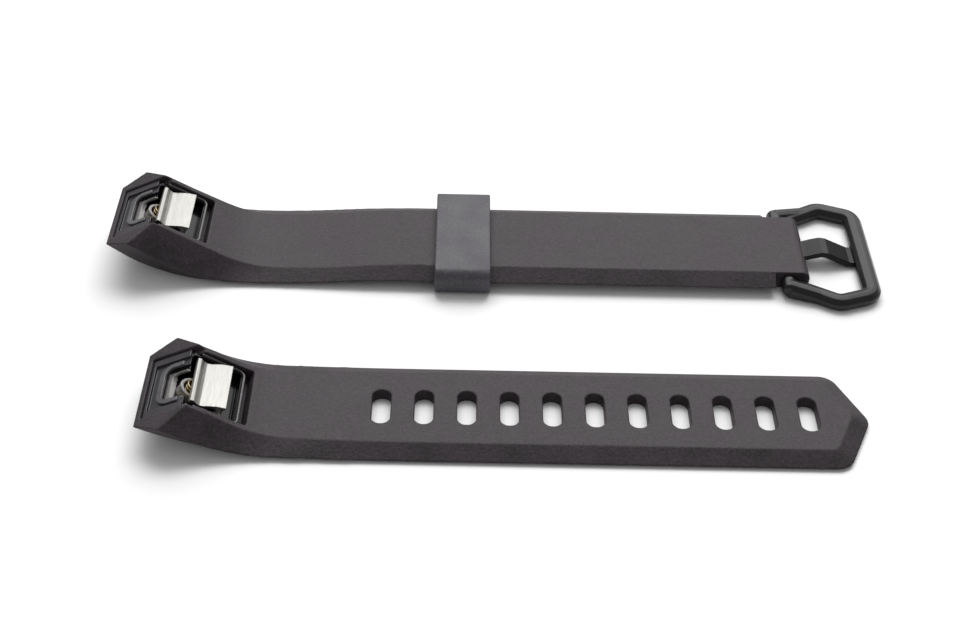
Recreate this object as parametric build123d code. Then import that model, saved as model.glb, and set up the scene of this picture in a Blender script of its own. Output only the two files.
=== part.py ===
from build123d import *
import math
import os

# Two-piece band for a clip-in activity tracker, laid out flat with its wrist side up.
# +X runs from the tracker ends to the buckle and the pointed tip, +Y from the half with
# the adjustment slots to the half with the buckle, +Z up. The origin is on the table,
# under the middle of the pair. Millimetres and degrees.

# Where the two halves lie: the line along each, and the wrist-side edge of its slanted end
HOLE_LINE_Y = -17.25
BUCKLE_LINE_Y = 14.1
HOLE_EDGE = (-34.05, 5.8)
BUCKLE_EDGE = (-42.30, 7.6)

# Side view of the band: a moulded curl at the tracker end, then flat
HOLE_TILT = 30.0
BUCKLE_TILT = 29.0
CURL_RADIUS = 14.0
HOLE_OUTER_RUN = 14.6
BUCKLE_OUTER_RUN = 12.9
FADE_RUN = 28.0
STATIONS = 13
LIFT_END_X = -9.0
LIFT_HEIGHT = 0.95

# Band section: outer face down, widest level above it, wrist face up
BAND_WIDTH = 15.8
BAND_OUTER_WIDTH = 14.8
BAND_INNER_WIDTH = 11.7
BAND_THICKNESS = 1.5
BAND_WIDEST_SHARE = 0.27

# The same section at the tracker end, where the band is thick and six-sided
END_OUTER_WIDTH = 12.2
END_INNER_WIDTH = 10.5
END_WIDEST_SHARE = 0.51

# Adjustment slots and pointed tip
SLOT_COUNT = 11
SLOT_PITCH = 4.86
SLOT_LENGTH = 5.6
SLOT_WIDTH = 2.15
FIRST_SLOT_X = -13.05
TIP_START_X = 32.9
TIP_SHOULDER_X = 39.3
TIP_POINT_X = 42.8
TIP_SHOULDER_ROUND = 2.2
TIP_POINT_ROUND = 2.2

# Tracker end, in its own frame: x into the band along the wrist face, z up out of it,
# with its origin on the wrist-side edge of the slanted face
LEAN = 36.0
END_DEPTH = 5.3
POCKET_HALF = 4.55
POCKET_FLOOR = -3.55
POCKET_STEP_X = 2.9
POCKET_SHELF = -2.1
POCKET_END = 6.4
LEDGE_END = 7.15
LEDGE_DEPTH = -1.5
FACE_LIP = 0.7
FLANGE_HALF = 4.9
FLANGE_SEAT = 0.9
FLANGE_GAP = 0.12
FLANGE_RECESS = 0.25
PANEL_HALF = 3.8
PANEL_RECESS = 0.55
FIT_GAP = 0.03
HOUSING_FLOOR = -3.1
HOUSING_SHELF = -1.75
HOUSING_TOP = -0.75
POST_TOP = -1.1
WELL_HALF = 4.1
WALL = 0.4
APERTURE_HALF = 2.7
APERTURE_ROUND = 1.0
INNER_LIP = 0.55
INNER_LIP_DEPTH = 0.3
INNER_LIP_TOP = -1.65
SEAL_WIDTH = 0.65
SEAL_HEIGHT = 0.3
RIM_TOP = -0.4
RIM_START = 0.9
RIM_ROUND = 0.9
RIM_WIDTH = 0.25

# Spring latch
LATCH_HALF = 3.6
LATCH_SHEET = 0.4
LATCH_UNDERSIDE = -1.16
LATCH_PIVOT_X = 4.05
LATCH_PIVOT_Z = -1.1
LATCH_PIN_RADIUS = 0.40
LATCH_HOLE_RADIUS = 0.42
LATCH_PIN_HALF = 4.4
SPRING_X = 1.0
SPRING_RADIUS = 0.75
SPRING_WIRE = 0.11
SPRING_TURNS = 4
BOSS_RADIUS = 1.5
BOSS_BORE = 1.12
BOSS_TOP = -1.9

# Keeper loop on the buckle half
KEEPER_X = -4.1
KEEPER_LENGTH = 6.9
KEEPER_WALL = 0.85
KEEPER_INNER_WIDTH = 16.4
KEEPER_INNER_HEIGHT = 1.85
KEEPER_ROUND = 1.3
KEEPER_INNER_ROUND = 0.6

# Buckle, its spring bar and the strap end that holds them
PIN_X = 36.8
PIN_Z = 1.15
STRAP_SHOULDER_X = 35.1
STRAP_END_X = 39.5
END_BLOCK_START_X = 34.6
END_BLOCK_HALF = 6.0
END_BLOCK_BOTTOM = 0.1
END_BLOCK_TOP = LIFT_HEIGHT + BAND_THICKNESS
END_BLOCK_ROUND = 1.1
TONGUE_SLOT_HALF = 1.95
TONGUE_SLOT_START_X = 35.3
TONGUE_SLOT_TOP = 2.05
LUG_CENTRE = 7.45
LUG_RADIUS = 1.0
LUG_OUTER = 0.9
LUG_RIDGE = 2.3
CHEEK_END = (40.6, 8.67)
LUG_ROUND = 0.5
LUG_END_X = 38.5
FRAME_BOTTOM = 0.15
FRAME_FOOT_HALF = 0.9
FRAME_HALF = 1.15
FRAME_RIDGE = 1.85
FRAME_VERTEX = (42.7, 9.9)
FRAME_CORNER = (47.1, 8.3)
FRAME_ROUND = 1.6
TIP_NOTCH_HALF = 2.1
TIP_NOTCH_TOP = 1.05
TONGUE_HALF = 1.7
TONGUE_EYE_RADIUS = 0.82
BAR_RADIUS = 0.55
BAR_BORE = 0.38
BAR_HALF = 5.95
BAR_HOLE_RADIUS = 0.57
PLUNGER_BODY_RADIUS = 0.36
PLUNGER_TIP_RADIUS = 0.30
PLUNGER_INNER_Y = 3.6
PLUNGER_SHOULDER_Y = 5.85
PLUNGER_TIP_Y = 7.6
LUG_HOLE_RADIUS = 0.33
LUG_HOLE_DEPTH_Y = 7.75
BAR_COIL_RADIUS = 0.25
BAR_COIL_WIRE = 0.11
BAR_COIL_TURNS = 12

LONG = 60.0

# The slanted face, with y up the slant from its lower edge and z outwards
LEAN_SIN = math.sin(math.radians(LEAN))
LEAN_COS = math.cos(math.radians(LEAN))
FACE_TOE = (-END_DEPTH * math.tan(math.radians(LEAN)), 0, -END_DEPTH)
FACE = Plane(origin=FACE_TOE, x_dir=(0, -1, 0), z_dir=(-LEAN_COS, 0, LEAN_SIN))


class SideCurve:
    """A line in the XZ plane made of straights and arcs that join smoothly."""

    def __init__(self, x, z, angle, runs):
        self.knots = [(x, z, angle, 0.0)]
        for run, curvature in runs:
            x, z, angle, _ = self.knots[-1]
            self.knots[-1] = (x, z, angle, curvature)
            self.knots.append((x + run, *self.height(x + run, self.knots[-1]), 0.0))

    @staticmethod
    def height(x, knot):
        """Height and angle at x on the stretch that starts at the knot."""
        start_x, start_z, angle, curvature = knot
        if curvature == 0.0:
            return start_z + (x - start_x) * math.tan(angle), angle
        turned = math.asin(math.sin(angle) + curvature * (x - start_x))
        return start_z - (math.cos(turned) - math.cos(angle)) / curvature, turned

    def z(self, x):
        knot = [k for k in self.knots if k[0] <= x + 1e-6][-1]
        return self.height(x, knot)[0]


class Band:
    """One strap: its lines in side view, and the frame of its tracker end."""

    def __init__(self, centre_y, edge, tilt, outer_run, lift_runs):
        self.centre_y = centre_y
        edge_x, edge_z = edge
        angle = math.radians(tilt)
        along = (math.cos(angle), 0, -math.sin(angle))
        up = (math.sin(angle), 0, math.cos(angle))
        self.end_frame = Plane(origin=(edge_x, centre_y, edge_z), x_dir=along, z_dir=up)

        # Wrist face: straight past the pocket, then an arc down to the flat band
        arc_drop = CURL_RADIUS * (1 - math.cos(angle))
        straight = (edge_z - BAND_THICKNESS - arc_drop) / math.tan(angle)
        arc_run = CURL_RADIUS * math.sin(angle)
        wrist_runs = [(straight, 0.0), (arc_run, 1 / CURL_RADIUS)]
        self.edge_x = edge_x
        self.wrist = SideCurve(edge_x, edge_z, -angle, wrist_runs + lift_runs(edge_x + straight + arc_run))

        # Outer face: one arc from the slanted face's lower edge down to the table
        toe = self.end_frame.from_local_coords(Vector(*FACE_TOE))
        self.toe_x = toe.X
        outer_angle = 2 * math.atan(toe.Z / outer_run)
        radius = outer_run / math.sin(outer_angle)
        outer_runs = [(outer_run, 1 / radius)]
        self.outer = SideCurve(toe.X, toe.Z, -outer_angle, outer_runs + lift_runs(toe.X + outer_run))

    def section_face(self, share, end_x):
        """Section at a share of the way from the slanted face to an upright end."""
        outer_x = self.toe_x + (end_x - self.toe_x) * share
        wrist_x = self.edge_x + (end_x - self.edge_x) * share
        foot = Vector(outer_x, self.centre_y, self.outer.z(outer_x))
        rise = Vector(wrist_x, self.centre_y, self.wrist.z(wrist_x)) - foot
        plane = Plane(origin=foot, x_dir=(0, 1, 0), z_dir=Vector(0, 1, 0).cross(rise))
        fade = min((outer_x - self.toe_x) / FADE_RUN, 1.0)
        return plane * band_section(fade, rise.length)

    def curled(self, end_x):
        """The lofted stretch from the slanted face to an upright section."""
        return loft([self.section_face(i / STATIONS, end_x) for i in range(STATIONS + 1)])


def block(x0, x1, y0, y1, z0, z1):
    return Pos((x0 + x1) / 2, (y0 + y1) / 2, (z0 + z1) / 2) * Box(x1 - x0, y1 - y0, z1 - z0)


def across(radius, y0, y1, x, z):
    """Cylinder along Y."""
    return Pos(x, (y0 + y1) / 2, z) * Rot(90, 0, 0) * Cylinder(radius, y1 - y0)


def side_profile(points, half_width, y=0.0):
    """Plate whose outline is given as (x, z) points, extruded along Y about y."""
    face = Plane.XZ * make_face(Polyline(*points, close=True))
    return Pos(0, y, 0) * extrude(face, amount=half_width, both=True)


def band_section(fade, height):
    """Six-sided section: the tracker end's at fade 0, the flat band's at fade 1."""
    end = 1.0 - fade * fade * (3.0 - 2.0 * fade)
    outer = BAND_OUTER_WIDTH + (END_OUTER_WIDTH - BAND_OUTER_WIDTH) * end
    inner = BAND_INNER_WIDTH + (END_INNER_WIDTH - BAND_INNER_WIDTH) * end
    level = height * (BAND_WIDEST_SHARE + (END_WIDEST_SHARE - BAND_WIDEST_SHARE) * end)
    right = [(outer / 2, 0), (BAND_WIDTH / 2, level), (inner / 2, height)]
    left = [(-u, v) for u, v in reversed(right)]
    return make_face(Polyline(*right, *left, close=True))


def flat_band(centre_y, bottom, start_x, end_x):
    plane = Plane(origin=(start_x, centre_y, bottom), x_dir=(0, 1, 0), z_dir=(1, 0, 0))
    return extrude(plane * band_section(1.0, BAND_THICKNESS), amount=end_x - start_x)


def face_block(half_width, low, high, depth0, depth1):
    """Block on the slanted face: low and high up the slant, depths measured inwards."""
    middle = Pos(0, (low + high) / 2, -(depth0 + depth1) / 2)
    return FACE * (middle * Box(2 * half_width, high - low, depth1 - depth0))


def face_window(half_width, low, high, round_radius, depth0, depth1):
    """The same with its two lower corners rounded."""
    outline = Pos(0, high) * RectangleRounded(2 * half_width, 2 * (high - low), round_radius)
    outline &= Pos(0, (low + high) / 2) * Rectangle(2 * half_width, high - low)
    return FACE * (Pos(0, 0, -depth1) * extrude(outline, amount=depth1 - depth0))


def up_slant(level):
    """Distance up the slanted face at which it reaches a level."""
    return (level + END_DEPTH) / LEAN_COS


def cut_tracker_end(strap, frame):
    """Seat for the housing's flange, stepped pocket for the housing, and a ledge."""
    half = POCKET_HALF
    seat = face_block(FLANGE_HALF + FLANGE_GAP, FACE_LIP, LONG / 4, -1, FLANGE_SEAT)
    pocket = block(-LONG / 4, POCKET_STEP_X, -half, half, POCKET_FLOOR, LONG / 4)
    pocket += block(-LONG / 4, POCKET_END, -half, half, POCKET_SHELF, LONG / 4)
    pocket += block(-LONG / 4, LEDGE_END, -half, half, LEDGE_DEPTH, LONG / 4)
    return strap - frame * seat - frame * pocket


def socket_housing():
    """Hard moulded tray with the slanted front plate that the tracker's stud enters."""
    half = POCKET_HALF - FIT_GAP
    end = POCKET_END - FIT_GAP
    step = POCKET_STEP_X - FIT_GAP
    tray = block(-LONG / 4, step, -half, half, POCKET_FLOOR + FIT_GAP, HOUSING_TOP)
    tray += block(-LONG / 4, end, -half, half, POCKET_SHELF + FIT_GAP, HOUSING_TOP)
    tray -= block(-LONG / 4, step - WALL, -WELL_HALF, WELL_HALF, HOUSING_FLOOR, LONG)
    tray -= block(0, end - WALL, -WELL_HALF, WELL_HALF, HOUSING_SHELF, LONG)
    tray -= face_block(LONG / 2, -LONG / 2, LONG / 2, -LONG / 2, PANEL_RECESS + FIT_GAP)
    low = FACE_LIP + FLANGE_GAP
    depth = FLANGE_SEAT - FIT_GAP
    flange = face_block(FLANGE_HALF, low, up_slant(HOUSING_TOP), FLANGE_RECESS, depth)
    flange -= face_block(PANEL_HALF, low + 0.4, LONG / 4, 0, PANEL_RECESS)
    flange -= block(-LONG / 4, LONG / 4, -PANEL_HALF, PANEL_HALF, POST_TOP, LONG / 4)
    sill = up_slant(HOUSING_FLOOR)
    aperture = face_window(APERTURE_HALF, sill, LONG / 4, APERTURE_ROUND, -1, depth)
    lip_end = depth + INNER_LIP_DEPTH
    lip = face_block(WELL_HALF + 0.1, 0, LONG / 4, depth, lip_end)
    lip &= block(-LONG / 4, LONG / 4, -half, half, HOUSING_FLOOR - 0.1, INNER_LIP_TOP)
    lip -= face_window(APERTURE_HALF - INNER_LIP, sill + INNER_LIP, LONG / 4, APERTURE_ROUND, 0, lip_end)
    housing = tray + flange + lip - aperture
    stand = (Align.CENTER, Align.CENTER, Align.MIN)
    boss = Cylinder(BOSS_RADIUS, BOSS_TOP - HOUSING_FLOOR, align=stand)
    boss -= Cylinder(BOSS_BORE, LONG, align=stand)
    housing += Pos(SPRING_X, 0, HOUSING_FLOOR) * boss
    return housing - across(LATCH_HOLE_RADIUS, -LONG / 4, LONG / 4, LATCH_PIVOT_X, LATCH_PIVOT_Z)


def retainer_rim():
    """Thin three-sided rim with round corners that edges the well."""
    half = POCKET_HALF - FIT_GAP
    end = POCKET_END - FIT_GAP
    width = 2 * half
    outline = Pos(end - width / 2, 0) * RectangleRounded(width, width, RIM_ROUND)
    inner_width = width - 2 * RIM_WIDTH
    inside = Pos(end - width / 2, 0) * RectangleRounded(inner_width, inner_width, RIM_ROUND - RIM_WIDTH)
    rim = Pos(0, 0, HOUSING_TOP) * extrude(outline - inside, amount=RIM_TOP - HOUSING_TOP)
    return rim - block(-LONG, RIM_START, -LONG, LONG, -LONG, LONG)


def face_seal():
    """U-shaped soft lip round the stud's aperture, on the front plate."""
    sill = up_slant(HOUSING_FLOOR)
    top = up_slant(POST_TOP) - 0.3
    outside = PANEL_RECESS - SEAL_HEIGHT
    half = APERTURE_HALF + SEAL_WIDTH
    corner = APERTURE_ROUND + SEAL_WIDTH
    seal = face_window(half, sill - SEAL_WIDTH, top, corner, outside, PANEL_RECESS)
    return seal - face_window(APERTURE_HALF, sill, LONG / 4, APERTURE_ROUND, -1, 1)


def latch_plate():
    """Pressed steel plate: hooked lip at the tracker side, thumb pad, two ears."""
    top = [(0.5, -0.6), (0.6, -0.47), (0.95, -0.45), (1.35, -0.66), (1.75, -0.74), (2.15, -0.62)]
    top += [(2.6, -0.35), (3.5, 0.1), (4.5, 0.38)]
    under = [(4.5, -0.02), (3.75, -0.26), (2.8, -0.7), (2.3, -1.0), (1.75, -1.14), (1.2, -1.05)]
    under += [(0.9, -0.88), (0.7, -1.1), (0.5, -1.1)]
    plate = side_profile(top + under, LATCH_HALF)
    ear = [(3.6, -0.3), (4.4, -0.05), (4.4, -1.35), (4.3, -1.6), (3.8, -1.6), (3.6, -1.35)]
    ear_y = LATCH_HALF - LATCH_SHEET
    for side in (-1, 1):
        plate += side_profile(ear, LATCH_SHEET / 2, side * ear_y)
    return plate - across(LATCH_HOLE_RADIUS, -LONG / 4, LONG / 4, LATCH_PIVOT_X, LATCH_PIVOT_Z)


def latch_pin():
    return across(LATCH_PIN_RADIUS, -LATCH_PIN_HALF, LATCH_PIN_HALF, LATCH_PIVOT_X, LATCH_PIVOT_Z)


def coil(radius, wire, height, turns):
    """Round-wire helical spring standing on Z = 0."""
    helix = Helix(pitch=(height - 2 * wire) / turns, height=height - 2 * wire, radius=radius)
    section = Plane(origin=helix @ 0, z_dir=helix % 0) * Circle(wire)
    return Pos(0, 0, wire) * sweep(section, path=helix)


def latch_spring():
    low = HOUSING_FLOOR + 0.02
    high = LATCH_UNDERSIDE - 0.04
    return Pos(SPRING_X, 0, low) * coil(SPRING_RADIUS, SPRING_WIRE, high - low, SPRING_TURNS)


def hole_strap(band):
    flat_x = band.toe_x + FADE_RUN
    strap = band.curled(flat_x)
    strap += flat_band(HOLE_LINE_Y, 0, flat_x, TIP_START_X)
    strap += pointed_tip()
    strap = cut_tracker_end(strap, band.end_frame)
    for i in range(SLOT_COUNT):
        slot = extrude(SlotOverall(SLOT_LENGTH, SLOT_WIDTH, rotation=90), amount=LONG / 4, both=True)
        strap -= Pos(FIRST_SLOT_X + i * SLOT_PITCH, HOLE_LINE_Y, 0) * slot
    return strap


def tip_outline(inset):
    """Plan of the pointed tip, drawn in by an inset on every side but its straight start."""
    half = BAND_WIDTH / 2
    slant = math.hypot(TIP_POINT_X - TIP_SHOULDER_X, half)
    slope = (TIP_POINT_X - TIP_SHOULDER_X) / half
    point = TIP_POINT_X - inset * slant / half
    shoulder = point - slope * (half - inset)
    corners = [(TIP_START_X, inset - half), (shoulder, inset - half), (point, 0)]
    corners += [(shoulder, half - inset), (TIP_START_X, half - inset)]
    outline = make_face(Polyline(*corners, close=True))
    shoulders = [v for v in outline.vertices() if TIP_START_X + 1 < v.X < point - 1]
    outline = fillet(shoulders, TIP_SHOULDER_ROUND - 0.5 * inset)
    points = [v for v in outline.vertices() if abs(v.Y) < 0.01 and v.X > point - 1]
    return fillet(points, TIP_POINT_ROUND - 0.5 * inset)


def pointed_tip():
    """Flat end of the strap, its bevels carried round the point."""
    levels = [
        (0.0, (BAND_WIDTH - BAND_OUTER_WIDTH) / 2),
        (BAND_WIDEST_SHARE * BAND_THICKNESS, 0.0),
        (BAND_THICKNESS, (BAND_WIDTH - BAND_INNER_WIDTH) / 2),
    ]
    outlines = [Pos(0, HOLE_LINE_Y, z) * tip_outline(inset) for z, inset in levels]
    return loft(outlines[:2], ruled=True) + loft(outlines[1:], ruled=True)


def buckle_strap(band):
    strap = band.curled(LIFT_END_X)
    strap += flat_band(BUCKLE_LINE_Y, LIFT_HEIGHT, LIFT_END_X, STRAP_SHOULDER_X)
    strap = cut_tracker_end(strap, band.end_frame)
    bar_hole = across(BAR_HOLE_RADIUS, -LONG / 4, LONG / 4, PIN_X, PIN_Z)
    return strap + strap_end_block() - Pos(0, BUCKLE_LINE_Y, 0) * bar_hole


def strap_end_block():
    """Thickened end that wraps the spring bar, slotted for the tongue."""
    end = block(
        END_BLOCK_START_X, STRAP_END_X, -END_BLOCK_HALF, END_BLOCK_HALF,
        END_BLOCK_BOTTOM, END_BLOCK_TOP,
    )
    end = fillet(end.edges().filter_by(Axis.Y).group_by(Axis.X)[-1], END_BLOCK_ROUND)
    end = fillet(end.edges().filter_by(Axis.Y).group_by(Axis.X)[0].group_by(Axis.Z)[0], 0.8)
    slot = block(
        TONGUE_SLOT_START_X, LONG, -TONGUE_SLOT_HALF, TONGUE_SLOT_HALF, -1, TONGUE_SLOT_TOP
    )
    return Pos(0, BUCKLE_LINE_Y, 0) * (end - slot)


def keeper_loop():
    """Soft rectangular loop round the buckle half."""
    width = KEEPER_INNER_WIDTH + 2 * KEEPER_WALL
    height = KEEPER_INNER_HEIGHT + 2 * KEEPER_WALL
    ring = RectangleRounded(width, height, KEEPER_ROUND)
    ring -= RectangleRounded(KEEPER_INNER_WIDTH, KEEPER_INNER_HEIGHT, KEEPER_INNER_ROUND)
    plane = Plane(origin=(KEEPER_X, BUCKLE_LINE_Y, height / 2), x_dir=(0, 1, 0), z_dir=(1, 0, 0))
    return extrude(plane * ring, amount=KEEPER_LENGTH / 2, both=True)


def hoop_bar(ridge):
    """Ridged section of the hoop, upright on its own base line."""
    side = [(FRAME_FOOT_HALF, FRAME_BOTTOM), (FRAME_HALF, 0.6), (FRAME_HALF, ridge - 0.75)]
    side += [(0.7, ridge - 0.2)]
    return make_face(Polyline(*side, (0, ridge), *[(-u, v) for u, v in reversed(side)], close=True))


def buckle_frame():
    """Six-sided hoop whose arms deepen into round lugs, with a rest for the tongue."""
    half = [(PIN_X, LUG_CENTRE), (LUG_END_X, LUG_CENTRE), FRAME_VERTEX, FRAME_CORNER]
    route = half + [(x, -y) for x, y in reversed(half)]
    path = FilletPolyline(*route, radius=FRAME_ROUND)
    start = Plane(origin=(PIN_X, LUG_CENTRE, 0), x_dir=(0, 1, 0), z_dir=(1, 0, 0))
    frame = sweep(start * hoop_bar(FRAME_RIDGE), path=path)
    cheek_end = Plane(origin=(*CHEEK_END, 0), x_dir=(0, 1, 0), z_dir=(1, 0, 0))
    cheek = loft([start * hoop_bar(LUG_RIDGE), cheek_end * hoop_bar(FRAME_RIDGE)], ruled=True)
    frame += cheek + mirror(cheek, Plane.XZ)
    lug = across(LUG_RADIUS, LUG_CENTRE - FRAME_HALF, LUG_CENTRE + LUG_OUTER, PIN_X, PIN_Z)
    lug = fillet(lug.edges().group_by(Axis.Y)[-1], LUG_ROUND)
    frame += lug + mirror(lug, Plane.XZ)
    frame -= across(LUG_HOLE_RADIUS, -LUG_HOLE_DEPTH_Y, LUG_HOLE_DEPTH_Y, PIN_X, PIN_Z)
    frame -= block(
        FRAME_CORNER[0] - 2, LONG, -TIP_NOTCH_HALF, TIP_NOTCH_HALF, -1, TIP_NOTCH_TOP
    )
    return Pos(0, BUCKLE_LINE_Y, 0) * frame


def buckle_tongue():
    """Bent flat tongue: eye round the spring bar, hump, tip under the far bar."""
    top = [(PIN_X, 1.82), (39.6, 1.8), (40.6, 2.15), (41.6, 2.4), (42.4, 2.3), (45.3, 0.95)]
    top += [(47.2, 0.85)]
    under = [(47.4, 0.6), (47.2, 0.25), (45.0, 0.3), (42.1, 1.6), (41.6, 1.7)]
    under += [(40.8, 1.5), (39.7, 1.2), (PIN_X, 1.2)]
    tongue = side_profile(top + under, TONGUE_HALF)
    tongue += across(TONGUE_EYE_RADIUS, -TONGUE_HALF, TONGUE_HALF, PIN_X, PIN_Z)
    tongue -= across(BAR_HOLE_RADIUS + 0.01, -LONG / 4, LONG / 4, PIN_X, PIN_Z)
    return Pos(0, BUCKLE_LINE_Y, 0) * tongue


def spring_bar_tube():
    tube = across(BAR_RADIUS, -BAR_HALF, BAR_HALF, PIN_X, PIN_Z)
    tube -= across(BAR_BORE, -LONG / 4, LONG / 4, PIN_X, PIN_Z)
    return Pos(0, BUCKLE_LINE_Y, 0) * tube


def spring_bar_plunger(side):
    body = across(PLUNGER_BODY_RADIUS, PLUNGER_INNER_Y, PLUNGER_SHOULDER_Y, PIN_X, PIN_Z)
    body += across(PLUNGER_TIP_RADIUS, PLUNGER_SHOULDER_Y, PLUNGER_TIP_Y, PIN_X, PIN_Z)
    if side < 0:
        body = mirror(body, Plane.XZ)
    return Pos(0, BUCKLE_LINE_Y, 0) * body


def spring_bar_coil():
    length = 2 * PLUNGER_INNER_Y - 0.04
    standing = coil(BAR_COIL_RADIUS, BAR_COIL_WIRE, length, BAR_COIL_TURNS)
    lying = Rot(-90, 0, 0) * Pos(0, 0, -length / 2) * standing
    return Pos(PIN_X, BUCKLE_LINE_Y, PIN_Z) * lying


def save(name, shape):
    export_step(shape, f"parts/{name}.step")


def save_tracker_end(half, frame):
    """The six pieces that each half carries at its tracker end."""
    save(f"{half}_socket_housing", frame * socket_housing())
    save(f"{half}_retainer_rim", frame * retainer_rim())
    save(f"{half}_face_seal", frame * face_seal())
    save(f"{half}_latch_plate", frame * latch_plate())
    save(f"{half}_latch_pin", frame * latch_pin())
    save(f"{half}_latch_spring", frame * latch_spring())


def level_run(start_x):
    """The hole half lies flat on the table past its curl."""
    return [(LONG, 0.0)]


def gentle_lift(start_x):
    """The buckle half rises in a shallow S until the keeper's wall is under it."""
    run = LIFT_END_X - start_x
    curvature = math.sin(2 * math.atan(LIFT_HEIGHT / run)) / (run / 2)
    return [(run / 2, curvature), (run / 2, -curvature), (LONG, 0.0)]


def main():
    os.makedirs("parts", exist_ok=True)
    hole_band = Band(HOLE_LINE_Y, HOLE_EDGE, HOLE_TILT, HOLE_OUTER_RUN, level_run)
    buckle_band = Band(BUCKLE_LINE_Y, BUCKLE_EDGE, BUCKLE_TILT, BUCKLE_OUTER_RUN, gentle_lift)

    save("hole_strap", hole_strap(hole_band))
    save_tracker_end("hole", hole_band.end_frame)
    save("buckle_strap", buckle_strap(buckle_band))
    save_tracker_end("buckle", buckle_band.end_frame)
    save("keeper_loop", keeper_loop())
    save("buckle_frame", buckle_frame())
    save("buckle_tongue", buckle_tongue())
    save("spring_bar_tube", spring_bar_tube())
    save("spring_bar_coil", spring_bar_coil())
    save("spring_bar_plunger_near", spring_bar_plunger(-1))
    save("spring_bar_plunger_far", spring_bar_plunger(1))


main()
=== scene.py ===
import math

import bmesh
import bpy
from mathutils import Matrix, Vector


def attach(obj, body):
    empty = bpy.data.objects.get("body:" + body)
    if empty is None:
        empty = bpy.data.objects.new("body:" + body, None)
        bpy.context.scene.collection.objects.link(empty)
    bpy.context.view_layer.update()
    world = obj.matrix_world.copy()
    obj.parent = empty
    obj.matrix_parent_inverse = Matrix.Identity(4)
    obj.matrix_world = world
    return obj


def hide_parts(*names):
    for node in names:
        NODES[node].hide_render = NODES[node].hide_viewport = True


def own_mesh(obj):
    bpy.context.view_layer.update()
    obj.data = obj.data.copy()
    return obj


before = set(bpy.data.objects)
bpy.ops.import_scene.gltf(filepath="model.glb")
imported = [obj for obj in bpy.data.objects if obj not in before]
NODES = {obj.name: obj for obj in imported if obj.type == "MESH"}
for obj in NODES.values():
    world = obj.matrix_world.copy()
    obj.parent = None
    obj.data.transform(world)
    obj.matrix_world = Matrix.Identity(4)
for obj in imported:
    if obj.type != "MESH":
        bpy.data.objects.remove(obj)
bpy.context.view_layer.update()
MM = 0.001

# Tracker ends: wrist-side edge of the slanted face in mm, tilt in degrees, and the half they belong to
ENDS = {
    "hole": {"edge": (-34.05, -17.25, 5.8), "tilt": 30.0, "body": "hole_half"},
    "buckle": {"edge": (-42.30, 14.1, 7.6), "tilt": 29.0, "body": "buckle_half"},
}
# Slanted face: its lean from upright and how deep the end is under its wrist-side edge
LEAN = math.radians(36.0)
END_DEPTH = 5.3
# Front plate of the housing: how far it reaches behind the face, and where its side arms begin
PLATE_DEPTH = 0.68
PLATE_ARM_Y = 3.7
FACES_OUT = 0.6
# Painted highlight on the housing's inner lip, a band painted lighter than the gloss well: its depths
# behind the face, half its width, and its top
LIP_DEPTHS = (0.8, 1.3)
LIP_HALF = 2.4
LIP_TOP = -1.2
# Spring boss on the floor of the well: what lies within its reach and above its foot, and the spring's foot
BOSS_REACH = 1.55
BOSS_FOOT = -3.04
SPRING_X = 1.0

# Skins: voxel in mm, smoothing passes, and the share of the faces that is kept
STRAP_SKIN = (0.09, 12, 0.12)
KEEPER_SKIN = (0.12, 2, 0.35)
HOUSING_SKIN = (0.05, 2, 0.35)
LATCH_SKIN = (0.05, 3, 0.35)
SEAL_SKIN = (0.045, 3, 0.5)
RIM_SKIN = (0.05, 2, 0.5)
HOOP_SKIN = (0.07, 10, 0.3)
PRONG_SKIN = (0.06, 3, 0.3)
SMALL_PART_CREASE = 35
WELD = 1e-7

# Broad mottling is this many times coarser than the grain; noise mostly stays in these middles
BROAD = 14
ONE_NOISE = (0.3, 0.7)
TWO_NOISES = (0.7, 1.3)

# Camera in mm and degrees, its lens and sensor in mm, and from where to where it sees, in metres
CAMERA_AT = (-4.443, -160.303, 129.433)
CAMERA_PITCH, CAMERA_YAW, CAMERA_ROLL = 38.8137, 0.9242, 1.6898
CAMERA_LENS, CAMERA_SENSOR = 63.382, 36
CAMERA_SEES = (0.01, 10)

# Light, in metres and watts: a wide softbox behind and above, a weaker one overhead, and dim surroundings
KEY_AT, KEY_SIZE, KEY_POWER = (0.05, 0.62, 0.62), (1.1, 0.75), 7.2
FILL_AT, FILL_SIZE, FILL_POWER = (0.0, 0.45, 0.95), (0.9, 0.6), 4.1
SURROUND = 0.42

# Floor: half its side in metres, and how far it lies below the object, in mm
FLOOR_REACH = 3.0
FLOOR_DROP = 0.02


def make_camera():
    pitch, yaw, roll = (math.radians(a) for a in (CAMERA_PITCH, CAMERA_YAW, CAMERA_ROLL))
    forward = Vector((math.sin(yaw) * math.cos(pitch), math.cos(yaw) * math.cos(pitch), -math.sin(pitch)))
    right = Vector((math.cos(yaw), -math.sin(yaw), 0))
    up = right.cross(forward)
    across = right * math.cos(roll) + up * math.sin(roll)
    upward = up * math.cos(roll) - right * math.sin(roll)
    place = Matrix((across, upward, -forward)).transposed().to_4x4()
    place.translation = Vector(CAMERA_AT) * MM
    data = bpy.data.cameras.new("camera")
    data.lens = CAMERA_LENS
    data.sensor_width = CAMERA_SENSOR
    data.clip_start, data.clip_end = CAMERA_SEES
    camera = bpy.data.objects.new("camera", data)
    camera.matrix_world = place
    bpy.context.scene.collection.objects.link(camera)
    bpy.context.scene.camera = camera


def area_light(name, at, size, power):
    """Softbox turned to the origin."""
    data = bpy.data.lights.new(name, "AREA")
    data.shape = "RECTANGLE"
    data.size, data.size_y = size
    data.energy = power
    light = bpy.data.objects.new(name, data)
    light.location = at
    light.rotation_mode = "QUATERNION"
    light.rotation_quaternion = (-Vector(at)).to_track_quat("-Z", "Y")
    bpy.context.scene.collection.objects.link(light)


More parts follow.
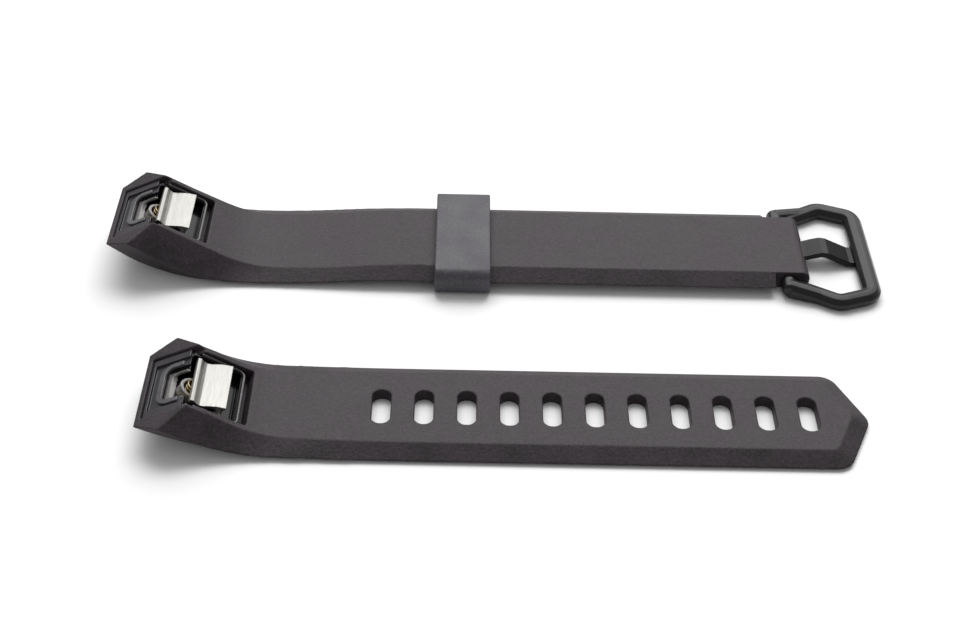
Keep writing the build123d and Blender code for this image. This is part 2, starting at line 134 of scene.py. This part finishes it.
def make_floor():
    mesh = bpy.data.meshes.new("floor")
    corners = [(-1, -1), (1, -1), (1, 1), (-1, 1)]
    mesh.from_pydata([(x * FLOOR_REACH, y * FLOOR_REACH, 0) for x, y in corners], [], [(0, 1, 2, 3)])
    floor = bpy.data.objects.new("floor", mesh)
    floor.location.z = -FLOOR_DROP * MM
    bpy.context.scene.collection.objects.link(floor)
    paint(floor, surface("floor", (0.93, 0.93, 0.93), 0.75, specular=0.1))


def make_studio():
    world = bpy.data.worlds.new("studio")
    world.use_nodes = True
    background = world.node_tree.nodes["Background"]
    background.inputs["Color"].default_value = (1, 1, 1, 1)
    background.inputs["Strength"].default_value = SURROUND
    bpy.context.scene.world = world
    area_light("key", KEY_AT, KEY_SIZE, KEY_POWER)
    area_light("fill", FILL_AT, FILL_SIZE, FILL_POWER)
    make_floor()
    bpy.context.scene.view_settings.view_transform = "Standard"


def noise(tree, vector, scale, detail):
    node = tree.nodes.new("ShaderNodeTexNoise")
    node.inputs["Scale"].default_value = scale
    node.inputs["Detail"].default_value = detail
    tree.links.new(vector.outputs["Vector"], node.inputs["Vector"])
    return node


def span(tree, source, low, high, new_low=0.0, new_high=1.0):
    """The source's value, with low to high carried to new_low to new_high."""
    node = tree.nodes.new("ShaderNodeMapRange")
    node.inputs["From Min"].default_value = low
    node.inputs["From Max"].default_value = high
    node.inputs["To Min"].default_value = new_low
    node.inputs["To Max"].default_value = new_high
    tree.links.new(source.outputs[0], node.inputs["Value"])
    return node


def mottled(tree, fine, broad, color, mottle):
    """Colour that wanders about its mean by the share mottle, with both noises added."""
    both = tree.nodes.new("ShaderNodeMath")
    both.operation = "ADD"
    tree.links.new(fine.outputs["Fac"], both.inputs[0])
    tree.links.new(broad.outputs["Fac"], both.inputs[1])
    tint = tree.nodes.new("ShaderNodeValToRGB")
    tint.color_ramp.elements[0].color = (*(c * (1 - mottle) for c in color), 1)
    tint.color_ramp.elements[1].color = (*(c * (1 + mottle) for c in color), 1)
    tree.links.new(span(tree, both, *TWO_NOISES).outputs["Result"], tint.inputs["Fac"])
    return tint


def surface(name, color, roughness, metallic=0.0, specular=0.5, grain=None, mottle=0.0,
            rough_spread=0.0, stretch=(1, 1, 1)):
    """Principled material. grain is (size in mm, height in mm) of the bumps; mottle is the share
    by which the colour wanders, rough_spread how far the roughness does."""
    material = bpy.data.materials.new(name)
    material.use_nodes = True
    tree = material.node_tree
    shader = tree.nodes["Principled BSDF"]
    shader.inputs["Base Color"].default_value = (*color, 1)
    shader.inputs["Roughness"].default_value = roughness
    shader.inputs["Metallic"].default_value = metallic
    shader.inputs["Specular IOR Level"].default_value = specular
    if grain is None:
        return material
    size, height = grain
    place = tree.nodes.new("ShaderNodeTexCoord")
    scale = tree.nodes.new("ShaderNodeMapping")
    scale.inputs["Scale"].default_value = stretch
    tree.links.new(place.outputs["Object"], scale.inputs["Vector"])
    fine = noise(tree, scale, 1 / (size * MM), 2.0)
    broad = noise(tree, scale, 1 / (size * MM * BROAD), 3.0)
    bump = tree.nodes.new("ShaderNodeBump")
    bump.inputs["Distance"].default_value = height * MM
    bump.inputs["Strength"].default_value = 1.0
    tree.links.new(fine.outputs["Fac"], bump.inputs["Height"])
    tree.links.new(bump.outputs["Normal"], shader.inputs["Normal"])
    tree.links.new(mottled(tree, fine, broad, color, mottle).outputs["Color"], shader.inputs["Base Color"])
    spread = span(tree, broad, *ONE_NOISE, roughness - rough_spread, roughness + rough_spread)
    tree.links.new(spread.outputs["Result"], shader.inputs["Roughness"])
    return material


def paint(obj, *materials):
    obj.data.materials.clear()
    for material in materials:
        obj.data.materials.append(material)


def smooth_all(obj):
    for polygon in obj.data.polygons:
        polygon.use_smooth = True


def smooth_by_angle(obj, degrees):
    obj.data.shade_smooth()
    obj.data.set_sharp_from_angle(angle=math.radians(degrees))


def copy_of(node, name):
    """A new object with the CAD node's mesh, its split vertices joined."""
    mesh = NODES[node].data.copy()
    mesh.name = name
    welded = bmesh.new()
    welded.from_mesh(mesh)
    bmesh.ops.remove_doubles(welded, verts=welded.verts, dist=WELD)
    welded.to_mesh(mesh)
    welded.free()
    obj = bpy.data.objects.new(name, mesh)
    bpy.context.scene.collection.objects.link(obj)
    return obj


def stands_for(obj, node, body):
    """obj moves with the body and is shown instead of the CAD node."""
    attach(obj, body)
    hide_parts(node)


def moulded(node, name, body, skin):
    """The CAD node with every edge worn to a small moulded round, as one even skin."""
    voxel, passes, keep = skin
    obj = copy_of(node, name)
    remesh = obj.modifiers.new("remesh", "REMESH")
    remesh.mode = "VOXEL"
    remesh.voxel_size = voxel * MM
    smooth = obj.modifiers.new("smooth", "SMOOTH")
    smooth.factor = 0.5
    smooth.iterations = passes
    thin = obj.modifiers.new("thin", "DECIMATE")
    thin.ratio = keep
    shown = obj.evaluated_get(bpy.context.evaluated_depsgraph_get())
    obj.data = bpy.data.meshes.new_from_object(shown)
    obj.modifiers.clear()
    smooth_all(obj)
    stands_for(obj, node, body)
    return obj


def end_place(half):
    """Matrix from the tracker end's own frame, in mm, to the row frame, in metres."""
    end = ENDS[half]
    place = Matrix.Rotation(math.radians(end["tilt"]), 4, "Y")
    place.translation = Vector(end["edge"])
    return Matrix.Scale(MM, 4) @ place


def depth_behind_face(point):
    """How far a point of the tracker end's frame lies behind the slanted face, in mm."""
    toe = Vector((-END_DEPTH * math.tan(LEAN), 0, -END_DEPTH))
    return (point - toe).dot(Vector((math.cos(LEAN), 0, -math.sin(LEAN))))


def housing_part(local, outward):
    """Index of the finish at a point of the housing: gloss well, front plate, inner lip painted lighter as
    a painted highlight, spring boss.
    outward is how squarely the surface there faces out of the slanted face."""
    depth = depth_behind_face(local)
    if depth < PLATE_DEPTH and (outward > FACES_OUT or abs(local.y) > PLATE_ARM_Y):
        return 1
    # Index 2: the inner lip band, painted light grey as a painted highlight
    if LIP_DEPTHS[0] < depth < LIP_DEPTHS[1] and abs(local.y) < LIP_HALF and local.z < LIP_TOP:
        return 2
    if math.hypot(local.x - SPRING_X, local.y) < BOSS_REACH and local.z > BOSS_FOOT:
        return 3
    return 0


def dress_housing(half):
    """Gloss well with a satin front plate, an inner lip painted lighter as a painted highlight, and a beige
    spring boss.
    """
    obj = moulded(f"{half}_socket_housing", f"{half}_housing_shell", ENDS[half]["body"],
                  HOUSING_SKIN)
    paint(obj, GLOSS, PLATE, LIP_PAINTED_HIGHLIGHT, BOSS)
    back = end_place(half).inverted()
    turn = back.to_3x3()
    for polygon in obj.data.polygons:
        normal = (turn @ polygon.normal).normalized()
        outward = normal.z * math.sin(LEAN) - normal.x * math.cos(LEAN)
        polygon.material_index = housing_part(back @ polygon.center, outward)


def dress_spring(half):
    """The latch spring in its well, a copy of the CAD node's mesh."""
    spring = copy_of(f"{half}_latch_spring", f"{half}_well_spring")
    smooth_all(spring)
    paint(spring, BRASS)
    stands_for(spring, f"{half}_latch_spring", ENDS[half]["body"])
    place = end_place(half)
    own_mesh(spring)


def dress_end(half):
    """Everything in one tracker end."""
    body = ENDS[half]["body"]
    dress_housing(half)
    paint(moulded(f"{half}_latch_plate", f"{half}_latch", f"{half}_latch", LATCH_SKIN), STEEL)
    paint(moulded(f"{half}_face_seal", f"{half}_seal_lip", body, SEAL_SKIN), SEAL)
    paint(moulded(f"{half}_retainer_rim", f"{half}_rim_edge", body, RIM_SKIN), RIM)
    dress_spring(half)
    paint(NODES[f"{half}_latch_pin"], PIN)


def dress_bar_coil(side, outward):
    """Half of the spring bar's coil, cut off at the bar's middle."""
    half = copy_of("spring_bar_coil", f"bar_coil_{side}")
    middle = Vector((0, ENDS["buckle"]["edge"][1], 0)) * MM
    cut = bmesh.new()
    cut.from_mesh(half.data)
    found = bmesh.ops.bisect_plane(cut, geom=cut.verts[:] + cut.edges[:] + cut.faces[:],
                                   plane_co=middle, plane_no=outward, clear_inner=True)
    rim = [item for item in found["geom_cut"] if isinstance(item, bmesh.types.BMEdge)]
    bmesh.ops.holes_fill(cut, edges=rim, sides=0)
    cut.to_mesh(half.data)
    cut.free()
    paint(half, PIN)
    smooth_by_angle(half, SMALL_PART_CREASE)
    stands_for(half, "spring_bar_coil", "buckle_half")
    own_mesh(half)


def dress_buckle():
    """Hoop, tongue and the spring bar they turn on."""
    paint(moulded("buckle_frame", "buckle_hoop", "buckle", HOOP_SKIN), COATED)
    # The tongue wears the darker copy of the hoop's coat, a painted shade
    paint(moulded("buckle_tongue", "buckle_prong", "tongue", PRONG_SKIN), TONGUE_SHADED_COAT)
    dress_bar_coil("near", (0, -1, 0))
    dress_bar_coil("far", (0, 1, 0))
    for name in ("spring_bar_tube", "spring_bar_plunger_near", "spring_bar_plunger_far"):
        paint(NODES[name], PIN)
        smooth_by_angle(NODES[name], SMALL_PART_CREASE)


# Soft parts
RUBBER = surface("strap_rubber", (0.0240, 0.0175, 0.0222), 0.60, specular=0.36, grain=(0.32, 0.042),
                 mottle=0.60, rough_spread=0.05)
KEEPER = surface("keeper_rubber", (0.050, 0.046, 0.055), 0.52, specular=0.42, grain=(0.32, 0.038),
                 mottle=0.45, rough_spread=0.12)
SEAL = surface("seal_lip", (0.075, 0.072, 0.078), 0.22, specular=0.7, grain=(0.3, 0.010),
               mottle=0.35, rough_spread=0.08)

# Hard plastic of the tracker ends
PLATE = surface("plate_satin", (0.024, 0.021, 0.025), 0.40, specular=0.45, grain=(0.3, 0.008),
                mottle=0.2, rough_spread=0.05)
GLOSS = surface("housing_gloss", (0.003, 0.003, 0.004), 0.14, specular=0.16, grain=(1.2, 0.008),
                mottle=0.2, rough_spread=0.04)
RIM = surface("rim_satin", (0.060, 0.056, 0.060), 0.30, specular=0.6, grain=(0.3, 0.006),
              mottle=0.15, rough_spread=0.06)
# Light grey on a band of the gloss black housing: a painted highlight for the bright line along the inner
# lip's edge
LIP_PAINTED_HIGHLIGHT = surface("inner_lip_painted_highlight", (0.17, 0.165, 0.16), 0.25, specular=0.6, grain=(0.3, 0.006),
              mottle=0.15, rough_spread=0.08)
BOSS = surface("spring_boss", (0.30, 0.265, 0.215), 0.30, specular=0.5, grain=(0.3, 0.008),
               mottle=0.2, rough_spread=0.08)

# Metal
STEEL = surface("latch_steel", (0.30, 0.295, 0.28), 0.44, metallic=1.0, grain=(0.22, 0.006),
                mottle=0.12, rough_spread=0.08, stretch=(1, 0.12, 1))
PIN = surface("pin_steel", (0.62, 0.61, 0.60), 0.28, metallic=1.0, grain=(0.15, 0.002),
              mottle=0.05, rough_spread=0.06)
BRASS = surface("spring_brass", (0.26, 0.20, 0.11), 0.22, metallic=1.0, grain=(0.15, 0.002),
                mottle=0.08, rough_spread=0.06)
COATED = surface("buckle_coat", (0.007, 0.0063, 0.0070), 0.33, specular=0.33, grain=(0.6, 0.010),
                 mottle=0.2, rough_spread=0.06)
# The hoop's black coat again, made darker and less reflective for the tongue: painted shade that holds down
# the key light's reflection on the tongue's top
TONGUE_SHADED_COAT = surface("tongue_coat_painted_shade", (0.005, 0.0045, 0.0052), 0.30, specular=0.15, grain=(0.6, 0.010),
                 mottle=0.2, rough_spread=0.06)

make_camera()
paint(moulded("hole_strap", "slotted_strap", "hole_half", STRAP_SKIN), RUBBER)
paint(moulded("buckle_strap", "buckle_side_strap", "buckle_half", STRAP_SKIN), RUBBER)
paint(moulded("keeper_loop", "keeper", "keeper", KEEPER_SKIN), KEEPER)
for half in ENDS:
    dress_end(half)
dress_buckle()
make_studio()
